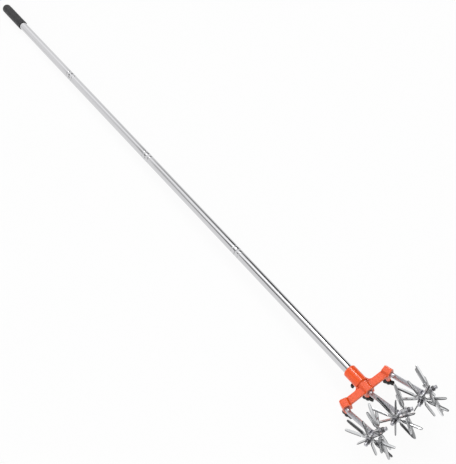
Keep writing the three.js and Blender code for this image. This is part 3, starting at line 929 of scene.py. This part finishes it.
def blade():
    """A blunt leaf along X: it leaves the disc flat, twists square to it and is hollow along its length"""
    section = BLADE_SIDE_SHARES + [(-x, -z) for x, z in BLADE_SIDE_SHARES]
    points, faces = [], []
    count = len(section)
    for far, width, thick, twist in BLADE_STATIONS:
        turn = math.radians(twist)
        hollow = BLADE_HOLLOW * (width / BLADE_WIDTH) * math.sin(turn) ** 2
        for x, z in section:
            wide = x * width / 2
            deep = z * thick / 2 + hollow * (x * x - 1 / 2)
            points.append((
                far, wide * math.sin(turn) + deep * math.cos(turn),
                deep * math.sin(turn) - wide * math.cos(turn)))
    rows = len(BLADE_STATIONS)
    for k in range(rows - 1):
        for i in range(count):
            j = (i + 1) % count
            faces.append([k * count + i, k * count + j, (k + 1) * count + j, (k + 1) * count + i])
    faces.append(list(range(count))[::-1])
    faces.append(list(range((rows - 1) * count, rows * count)))
    return points, faces


def star_shape():
    """A disc with its blades, and how many faces each blade has"""
    half = DISC_THICK / 2
    inner = BUSH_R + SEAT
    profile = [(inner, -half), (DISC_R, -half, DISC_EDGE), (DISC_R, half, DISC_EDGE), (inner, half)]
    disc = lathe(soften(profile), WHEEL_STEPS)
    leaf = blade()
    step = 360 / BLADES
    points, faces = together([disc] + [moved(leaf, spin(step * n, "Y")) for n in range(BLADES)])
    return points, faces, len(leaf[1])


def painted_edge_shade(mesh, blade_faces):
    """Marks the two long edges and the end faces of every blade for painted shade; the blades' faces come
    last, one ring after another
    """
    marks = mesh.attributes.new(PAINTED_EDGE_SHADE, "FLOAT", "FACE")
    first = len(mesh.polygons) - BLADES * blade_faces
    side = len(BLADE_SIDE_SHARES)
    ring = side * 2
    edges = (0, side - 2, side - 1, side, ring - 2, ring - 1)
    for face in range(first, len(mesh.polygons)):
        spot = (face - first) % blade_faces
        tip = spot >= blade_faces - 2
        marks.data[face].value = 1.0 if tip or spot % ring in edges else 0.0


def wheels(name, unit):
    """Both stars of a unit with their bushes, and the washers and collars that hold them on the axle"""
    flange = STAR_FROM + DISC_THICK / 2 + SEAT
    bush_from, bush_end = COLLAR_FROM + COLLAR_THICK + RUN, flange + FLANGE_THICK
    bore = AXLE_R + RUN
    bush = soften([
        (bore, bush_from), (BUSH_R, bush_from, BUSH_EDGE), (BUSH_R, flange),
        (FLANGE_R, flange, FLANGE_EDGE), (FLANGE_R, bush_end, BUSH_EDGE), (bore, bush_end, FLANGE_EDGE)])
    washer_from = bush_end + RUN
    washer_end = washer_from + WASHER_THICK
    washer = soften([
        (bore, washer_from), (WASHER_R, washer_from, WASHER_EDGE), (WASHER_R, washer_end, WASHER_EDGE),
        (bore, washer_end)])
    seat, retainer_end = AXLE_R + SEAT, RETAINER_FROM + RETAINER_LENGTH
    retainer = soften([
        (seat, RETAINER_FROM), (RETAINER_R, RETAINER_FROM, RETAINER_INNER_EDGE),
        (RETAINER_R, retainer_end, RETAINER_OUTER_EDGE), (seat, retainer_end)])
    step = 360 / BLADES
    for side, hand, share in ((-1, "left", unit["shares"][0]), (1, "right", unit["shares"][1])):
        place = wheel_place(unit) @ stub(side)
        turned = place @ spin(side * share * step, "Y")
        whole = f"{name}_unit_{hand}"
        rider = f"{whole}_wheel"
        points, faces, blade_faces = star_shape()
        star = solid(
            f"{whole}_blades", points, faces, turned @ shift(0, STAR_FROM, 0), ZINC_SHEET, rider,
            "zinc_plate", [f"{whole}_star"], crease=40)
        painted_edge_shade(star.data, blade_faces)
        solid(
            f"{whole}_bush", *lathe(bush, WHEEL_STEPS), turned, LATHE_STEEL, rider, "turned_steel",
            [f"{whole}_hub_bush"])
        solid(
            f"{whole}_plain_washer", *lathe(washer, WHEEL_STEPS), place, BRIGHT_ZINC, f"{name}_unit",
            "polished_steel", [f"{whole}_washer"])
        solid(
            f"{whole}_collar", *lathe(retainer, SMALL_STEPS), place, PHOSPHATE, f"{name}_unit",
            "dark_zinc", [f"{whole}_retainer"])


# Studio

# Floor, in metres, and how much of what the camera sees of it is plain white
FLOOR_HALF = 9
FLOOR_WHITE = 0.92

# What mirrors see. Each band is (start, full, fade, end): nothing outside start and end, all of it between
# full and fade. Each edge is (none, full). A turn is in degrees from straight up towards +X, about the Y
# axis; the others are how far the view points along an axis.
LEFT_SCREEN_TURN = (-46, -40, -5, 1)
RIGHT_SCREEN_TURN = (40, 46, 106, 112)
SCREENS_Y = (0.05, 0.3, 0.5, 0.76)
OVERHEAD_TURN = (2, 6, 36, 42)
STRIP_TURN = (17.5, 21, 28, 34)
STRIP_Y = (0.39, 0.4, 0.46, 0.5)
FRONT_Y = (-0.15, -0.35)
RIGHT_X = (0.4, 0.6)
RIGHT_Y = (0.3, 0.1)
FRONT_RIGHT_Y = (-0.15, -0.3)
FRONT_RIGHT_X = (0.4, 0.5)
HORIZON_Y = (0.72, 0.84)
HORIZON_Z = (0.24, 0.16)
SCREENS_DARK = 0.92
FRONT_DARK = 0.55
RIGHT_DARK = 0.5
HORIZON_DARK = 0.85
DARKEST = 0.92
OVERHEAD_BRIGHTER = 0.2
STRIP_STRENGTH = 14.0

# Camera, in metres, with its picture's height and its focal length in pixels
PICTURE_HEIGHT = 464
FOCAL_LENGTH = 1043.109
SENSOR = 24.0
EYE = (-0.44635, -1.35702, 1.79296)
EYE_RIGHT = (0.798118, -0.577157, -0.172907)
EYE_UP = (0.563371, 0.613157, 0.553761)


def by_ray(tree, seen, unseen):
    """One shader for what the camera and mirrors see, another for the light that falls on things"""
    path = add(tree, "LightPath").outputs
    rays = {0: path["Is Camera Ray"], 1: path["Is Glossy Ray"]}
    both = add(tree, "Math", rays, operation="ADD").outputs[0]
    every = add(tree, "Math", {0: both, 1: path["Is Transmission Ray"]}, operation="ADD", use_clamp=True)
    return add(tree, "MixShader", {0: every.outputs[0], 1: unseen, 2: seen}).outputs[0]


def floor():
    """A matt white floor that shows white to the camera and keeps the tool's shadow"""
    mesh = bpy.data.meshes.new("floor")
    corners = [(x * FLOOR_HALF, y * FLOOR_HALF, 0) for x, y in ((-1, -1), (1, -1), (1, 1), (-1, 1))]
    mesh.from_pydata(corners, [], [[0, 1, 2, 3]])
    sheet = bpy.data.objects.new("floor", mesh)
    bpy.context.scene.collection.objects.link(sheet)
    material = bpy.data.materials.new("white_studio_floor")
    material.use_nodes = True
    tree = material.node_tree
    tree.nodes.clear()
    matt = add(tree, "BsdfDiffuse", {"Color": (0.94, 0.94, 0.94, 1)}).outputs[0]
    white = add(tree, "Emission", {"Color": (1, 1, 1, 1), "Strength": 1.0}).outputs[0]
    mostly = add(tree, "MixShader", {0: FLOOR_WHITE, 1: matt, 2: white}).outputs[0]
    add(tree, "OutputMaterial", {"Surface": by_ray(tree, mostly, matt)})
    mesh.materials.append(material)


def world():
    """A pale room. Mirrors see dark screens on both sides of the head, darker parts in front, on the right
    and low at the grip's end, a brighter band overhead, and in that a thin strip light."""
    room = bpy.data.worlds.new("studio")
    bpy.context.scene.world = room
    room.use_nodes = True
    tree = room.node_tree
    tree.nodes.clear()
    toward = add(tree, "TexCoord").outputs["Generated"]
    axes = add(tree, "SeparateXYZ", {0: toward}).outputs
    around = add(tree, "Math", {0: axes["X"], 1: axes["Z"]}, operation="ARCTAN2").outputs[0]
    degrees = add(tree, "Math", {0: around}, operation="DEGREES").outputs[0]

    def rise(value, edge):
        """0 at the edge's first number, 1 at its second"""
        sockets = {"Value": value, "From Min": edge[0], "From Max": edge[1]}
        return add(tree, "MapRange", sockets, interpolation_type="SMOOTHSTEP").outputs[0]

    def times(one, other):
        return add(tree, "Math", {0: one, 1: other}, operation="MULTIPLY").outputs[0]

    def less(one, other):
        return add(tree, "Math", {0: one, 1: other}, operation="SUBTRACT").outputs[0]

    def band(value, limits):
        """1 between full and fade, and 0 outside start and end"""
        down = less(1.0, rise(value, limits[2:]))
        return times(rise(value, limits[:2]), down)

    def plus(one, other):
        return add(tree, "Math", {0: one, 1: other}, operation="ADD").outputs[0]

    near_head = band(axes["Y"], SCREENS_Y)
    screens = plus(band(degrees, LEFT_SCREEN_TURN), band(degrees, RIGHT_SCREEN_TURN))
    overhead = band(degrees, OVERHEAD_TURN)
    strip = times(band(degrees, STRIP_TURN), band(axes["Y"], STRIP_Y))
    front = times(rise(axes["Y"], FRONT_Y), FRONT_DARK)
    right = times(rise(axes["X"], RIGHT_X), rise(axes["Y"], RIGHT_Y))
    front_right = times(rise(axes["Y"], FRONT_RIGHT_Y), rise(axes["X"], FRONT_RIGHT_X))
    horizon = times(rise(axes["Y"], HORIZON_Y), rise(axes["Z"], HORIZON_Z))
    sides = plus(times(right, RIGHT_DARK), times(horizon, HORIZON_DARK))
    hidden = plus(plus(times(times(screens, near_head), SCREENS_DARK), front), plus(sides, front_right))
    dark = add(tree, "Math", {0: DARKEST, 1: hidden}, operation="MINIMUM").outputs[0]
    bright = plus(1.0, times(overhead, OVERHEAD_BRIGHTER))
    level = plus(times(bright, less(1.0, dark)), times(strip, STRIP_STRENGTH))
    lit = add(tree, "Background", {"Color": (1, 1, 1, 1), "Strength": level}).outputs[0]
    white = add(tree, "Background", {"Color": (1, 1, 1, 1), "Strength": 1.0}).outputs[0]
    seen = add(tree, "LightPath").outputs["Is Camera Ray"]
    add(tree, "OutputWorld", {"Surface": add(tree, "MixShader", {0: seen, 1: lit, 2: white}).outputs[0]})


def lamp(name, spot, aim, size, power):
    """A square softbox, placed and aimed in metres"""
    light = bpy.data.lights.new(name, "AREA")
    light.shape = "SQUARE"
    light.size = size
    light.energy = power
    made = bpy.data.objects.new(name, light)
    made.location = spot
    made.rotation_euler = (Vector(aim) - Vector(spot)).to_track_quat("-Z", "Y").to_euler()
    bpy.context.scene.collection.objects.link(made)


def camera():
    """The photograph's own view"""
    eye = bpy.data.cameras.new("camera")
    eye.sensor_fit = "VERTICAL"
    eye.sensor_height = SENSOR
    eye.lens = FOCAL_LENGTH * SENSOR / PICTURE_HEIGHT
    eye.clip_start = 0.05
    eye.clip_end = 60
    made = bpy.data.objects.new("camera", eye)
    right, up = Vector(EYE_RIGHT), Vector(EYE_UP)
    turned = Matrix((right, up, right.cross(up))).transposed().to_4x4()
    made.matrix_world = Matrix.Translation(EYE) @ turned
    bpy.context.scene.collection.objects.link(made)
    bpy.context.scene.camera = made


bpy.context.scene.view_settings.view_transform = "Standard"
camera()
world()
floor()
lamp("overhead_softbox", spot=(0.1, -0.2, 2.4), aim=(0, -0.4, 0), size=3.2, power=18)
pole()
head()
wing_screws()
for unit_name, unit_facts in UNITS.items():
    stem(unit_name, unit_facts)
    axle(unit_name, unit_facts)
    wheels(unit_name, unit_facts)
